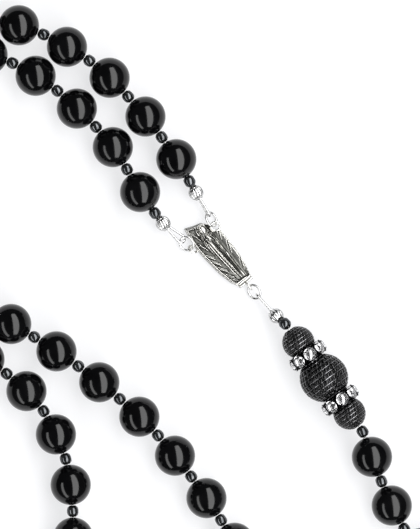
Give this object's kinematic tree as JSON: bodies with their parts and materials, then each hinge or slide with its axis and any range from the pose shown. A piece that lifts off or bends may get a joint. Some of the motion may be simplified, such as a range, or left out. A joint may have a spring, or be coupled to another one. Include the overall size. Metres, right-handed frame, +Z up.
{
  "type": "prayer bead strand",
  "caption": "Strand of round black stone prayer beads on beading wire, meeting at a silver centre medal, with pave bead groups, a tail and a cross.",
  "frame": {"origin": "middle of the flat back of the centre medal, on the surface that the strand lies on", "axes": "+Z up off the surface, +Y towards the far end of the upper strands, +X towards the tail"},
  "size_m": [0.242, 0.2551, 0.0122],
  "materials": {
    "antique_silver": "antiqued cast silver, dark in the recesses",
    "cross_silver": "antiqued cast silver",
    "silver": "bright polished silver",
    "beading_wire": "nylon-coated stranded steel",
    "onyx": "polished deep black",
    "hematite": "mirror-polished facets",
    "black_pave": "rows of small black stones in gunmetal prongs",
    "black_setting": "black plated metal",
    "crystal": "clear faceted crystal"
  },
  "bodies": {
    "root": {"medal": "antique_silver", "onyx_decade_1": "onyx", "onyx_decade_2": "onyx", "spacers_right": "hematite", "wire_right": "beading_wire", "onyx_decade_5": "onyx", "onyx_decade_4": "onyx", "spacers_left": "hematite", "wire_left": "beading_wire", "small_pave_loop": "black_pave", "large_pave_loop": "black_pave", "rondelles_loop": "black_setting", "wire_guards_loop": "silver", "crimps_loop": "silver", "crimp_covers_loop": "silver"},
    "ring_left": {"jump_ring_left": "silver"},
    "ring_right": {"jump_ring_right": "silver"},
    "ring_tail": {"jump_ring_tail": "silver"},
    "tail_top": {"wire_guard_tail": "silver", "crimp_tail": "silver", "crimp_cover_tail": "silver", "spacer_tail_top": "hematite", "wire_tail_top": "beading_wire"},
    "tail_group": {"wire_tail_group": "beading_wire", "spacer_tail_group": "hematite"},
    "small_pave_1": {"small_pave_tail_1": "black_pave"},
    "rondelle_1": {"rondelle_tail_1": "black_setting", "crystals_tail_1": "crystal"},
    "large_pave": {"large_pave_tail": "black_pave"},
    "rondelle_2": {"rondelle_tail_2": "black_setting", "crystals_tail_2": "crystal"},
    "small_pave_2": {"small_pave_tail_2": "black_pave"},
    "tail_beads": {"wire_tail_beads": "beading_wire", "spacers_tail_beads": "hematite"},
    "onyx_1": {"onyx_tail_1": "onyx"},
    "onyx_2": {"onyx_tail_2": "onyx"},
    "onyx_3": {"onyx_tail_3": "onyx"},
    "tail_end": {"wire_tail_end": "beading_wire", "small_pave_tail_end": "black_pave", "large_pave_tail_end": "black_pave", "rondelles_tail_end": "black_setting", "spacer_tail_end": "hematite", "wire_guard_cross": "silver", "crimp_cross": "silver", "crimp_cover_cross": "silver"},
    "ring_cross": {"jump_ring_cross": "silver"},
    "cross": {"cross": "cross_silver"},
    "leg_right": {"small_pave_leg_right": "black_pave", "large_pave_leg_right": "black_pave", "rondelles_leg_right": "black_setting", "spacer_leg_right": "hematite", "wire_leg_right": "beading_wire"},
    "leg_left": {"small_pave_leg_left": "black_pave", "large_pave_leg_left": "black_pave", "rondelles_leg_left": "black_setting", "spacer_leg_left": "hematite", "wire_leg_left": "beading_wire"},
    "turn": {"onyx_decade_3": "onyx", "spacers_decade_3": "hematite", "wire_decade_3": "beading_wire"}
  },
  "joints": [
    {"name": "ring_left_rock", "type": "hinge", "parent": "root", "child": "ring_left", "pos_m": [-0.00777, 0.00228, 0.00181], "axis": [-0.7511, 0.6522, 0.102], "range_deg": [-8, 8]},
    {"name": "ring_right_rock", "type": "hinge", "parent": "root", "child": "ring_right", "pos_m": [-0.00167, 0.00839, 0.00181], "axis": [-0.4973, 0.8613, 0.1037], "range_deg": [-8, 8]},
    {"name": "tail_swing", "type": "hinge", "parent": "root", "child": "ring_tail", "pos_m": [0.00762, -0.00812, 0.0017], "axis": [0, 0, 1], "range_deg": [-4, 13]},
    {"name": "tail_slide", "type": "hinge", "parent": "ring_tail", "child": "tail_top", "pos_m": [0.00898, -0.00961, 0.00208], "axis": [0, 0, 1], "range_deg": [-4, 10]},
    {"name": "tail_flex_1", "type": "hinge", "parent": "tail_top", "child": "tail_group", "pos_m": [0.01652, -0.01745, 0.00549], "axis": [0, 0, 1], "range_deg": [-4, 15]},
    {"name": "small_pave_1_spin", "type": "hinge", "parent": "tail_group", "child": "small_pave_1", "pos_m": [0.01985, -0.02209, 0.00567], "axis": [-0.5837, 0.8114, -0.032], "continuous": true},
    {"name": "rondelle_1_spin", "type": "hinge", "parent": "tail_group", "child": "rondelle_1", "pos_m": [0.02241, -0.02565, 0.00581], "axis": [-0.5837, 0.8114, -0.032], "continuous": true},
    {"name": "large_pave_spin", "type": "hinge", "parent": "tail_group", "child": "large_pave", "pos_m": [0.02614, -0.03084, 0.00601], "axis": [0.5837, -0.8114, 0.032], "continuous": true},
    {"name": "rondelle_2_spin", "type": "hinge", "parent": "tail_group", "child": "rondelle_2", "pos_m": [0.02987, -0.03602, 0.00622], "axis": [0.5837, -0.8114, 0.032], "continuous": true},
    {"name": "small_pave_2_spin", "type": "hinge", "parent": "tail_group", "child": "small_pave_2", "pos_m": [0.03244, -0.03958, 0.00636], "axis": [0.5837, -0.8114, 0.032], "continuous": true},
    {"name": "tail_flex_2", "type": "hinge", "parent": "tail_group", "child": "tail_beads", "pos_m": [0.03566, -0.04407, 0.00654], "axis": [0, 0, 1], "range_deg": [-5, 18]},
    {"name": "onyx_1_spin", "type": "hinge", "parent": "tail_beads", "child": "onyx_1", "pos_m": [0.03801, -0.05033, 0.00586], "axis": [0.3522, -0.931, -0.0958], "continuous": true},
    {"name": "onyx_2_spin", "type": "hinge", "parent": "tail_beads", "child": "onyx_2", "pos_m": [0.04293, -0.06239, 0.00512], "axis": [0.4181, -0.9082, -0.0178], "continuous": true},
    {"name": "onyx_3_spin", "type": "hinge", "parent": "tail_beads", "child": "onyx_3", "pos_m": [0.05049, -0.07283, 0.00514], "axis": [0.7362, -0.6766, 0.0175], "continuous": true},
    {"name": "tail_flex_3", "type": "hinge", "parent": "tail_beads", "child": "tail_end", "pos_m": [0.05541, -0.07712, 0.00526], "axis": [0, 0, 1], "range_deg": [-6, 18]},
    {"name": "cross_slide", "type": "hinge", "parent": "tail_end", "child": "ring_cross", "pos_m": [0.09219, -0.10471, 0.00199], "axis": [0, 0, 1], "range_deg": [-8, 8]},
    {"name": "cross_swing", "type": "hinge", "parent": "ring_cross", "child": "cross", "pos_m": [0.09381, -0.10592, 0.0017], "axis": [0, 0, 1], "range_deg": [-15, 15]},
    {"name": "leg_left_sway", "type": "hinge", "parent": "root", "child": "leg_left", "pos_m": [0.0176, -0.11455, 0.0061], "axis": [0, 0, 1], "range_deg": [-12, 12]},
    {"name": "leg_right_sway", "type": "hinge", "parent": "root", "child": "leg_right", "pos_m": [-0.03604, -0.08986, 0.00605], "axis": [0, 0, 1], "range_deg": [-12, 12]},
    {"name": "turn_level", "type": "hinge", "parent": "leg_left", "child": "turn", "pos_m": [0.0176, -0.14736, 0.0061], "axis": [0, 0, 1], "range_deg": [-12, 12]}
  ],
  "couplings": [
    {"joint": "leg_right_sway", "follows": "leg_left_sway", "ratio": 1},
    {"joint": "turn_level", "follows": "leg_left_sway", "ratio": -1}
  ]
}
